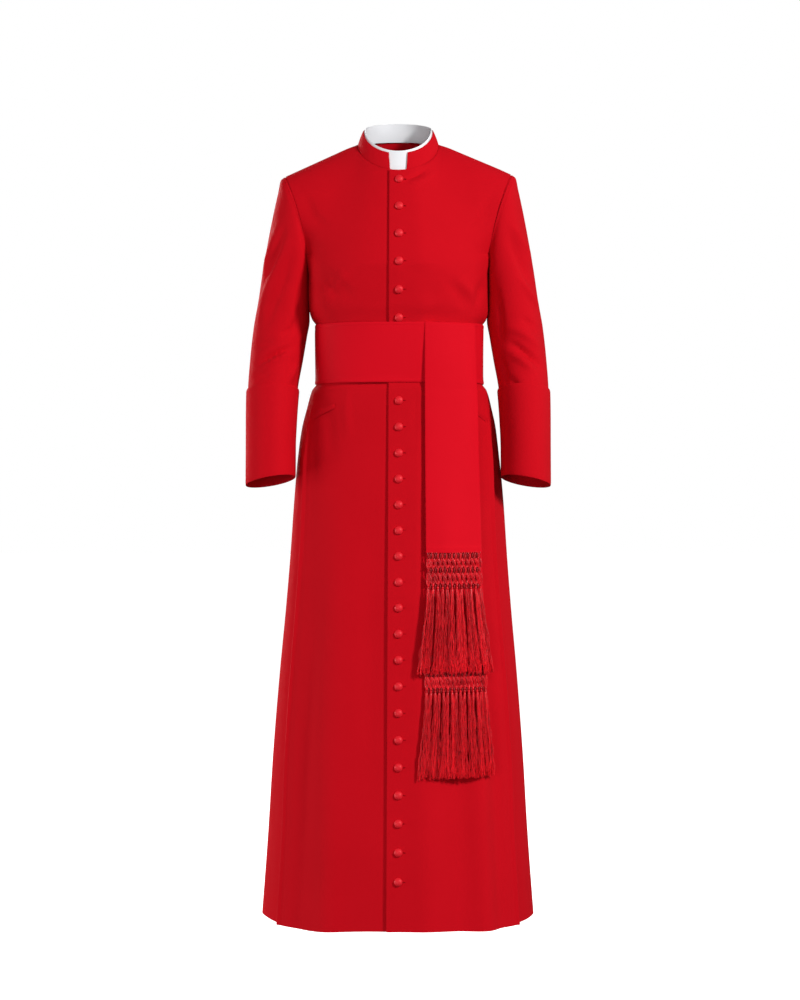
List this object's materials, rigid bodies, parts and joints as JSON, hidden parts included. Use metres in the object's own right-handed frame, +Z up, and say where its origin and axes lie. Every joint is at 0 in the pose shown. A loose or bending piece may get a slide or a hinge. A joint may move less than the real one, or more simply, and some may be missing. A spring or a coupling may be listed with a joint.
{
  "type": "cassock",
  "caption": "Full-length red button-front cassock with a stand collar, white collar liner, turned-back cuffs, pressed side folds and a waist sash whose hanging ends finish in knotted fringes.",
  "frame": {"origin": "the middle of the neck opening, level with the two points where the collar seam meets the shoulder seams: where the wearer's shoulders hold the garment up", "axes": "+Z up, the wearer faces -Y, the wearer's left side is +X"},
  "size_m": [0.5714, 0.4708, 1.5041],
  "materials": {
    "red_wool": "matte red wool cloth, fine plain weave with a soft sheen",
    "red_sash_silk": "brighter red ribbed sash cloth with a low satin sheen",
    "red_fringe_silk": "glossy twisted red thread, knotted",
    "red_button_cloth": "red cloth stretched over a domed button",
    "white_collar_linen": "smooth stiff white band"
  },
  "bodies": {
    "root": {"front_left": "red_wool", "front_right": "red_wool", "side_left": "red_wool", "side_right": "red_wool", "back_left": "red_wool", "back_right": "red_wool", "sleeve_left": "red_wool", "sleeve_right": "red_wool", "cuff_left": "red_wool", "cuff_right": "red_wool", "pocket_welt_left": "red_wool", "pocket_welt_right": "red_wool", "collar": "red_wool", "collar_liner": "white_collar_linen", "sash_band": "red_sash_silk", "sash_tail_back": "red_sash_silk", "sash_tail_front": "red_sash_silk", "sash_fringe_back": "red_fringe_silk", "sash_fringe_front": "red_fringe_silk", "button_01": "red_button_cloth", "button_02": "red_button_cloth", "button_03": "red_button_cloth", "button_04": "red_button_cloth", "button_05": "red_button_cloth", "button_06": "red_button_cloth", "button_07": "red_button_cloth", "button_08": "red_button_cloth", "button_09": "red_button_cloth", "button_10": "red_button_cloth", "button_11": "red_button_cloth", "button_12": "red_button_cloth", "button_13": "red_button_cloth", "button_14": "red_button_cloth", "button_15": "red_button_cloth", "button_16": "red_button_cloth", "button_17": "red_button_cloth", "button_18": "red_button_cloth", "button_19": "red_button_cloth", "button_20": "red_button_cloth", "button_21": "red_button_cloth", "button_22": "red_button_cloth", "button_23": "red_button_cloth", "button_24": "red_button_cloth", "button_25": "red_button_cloth"}
  },
  "joints": []
}
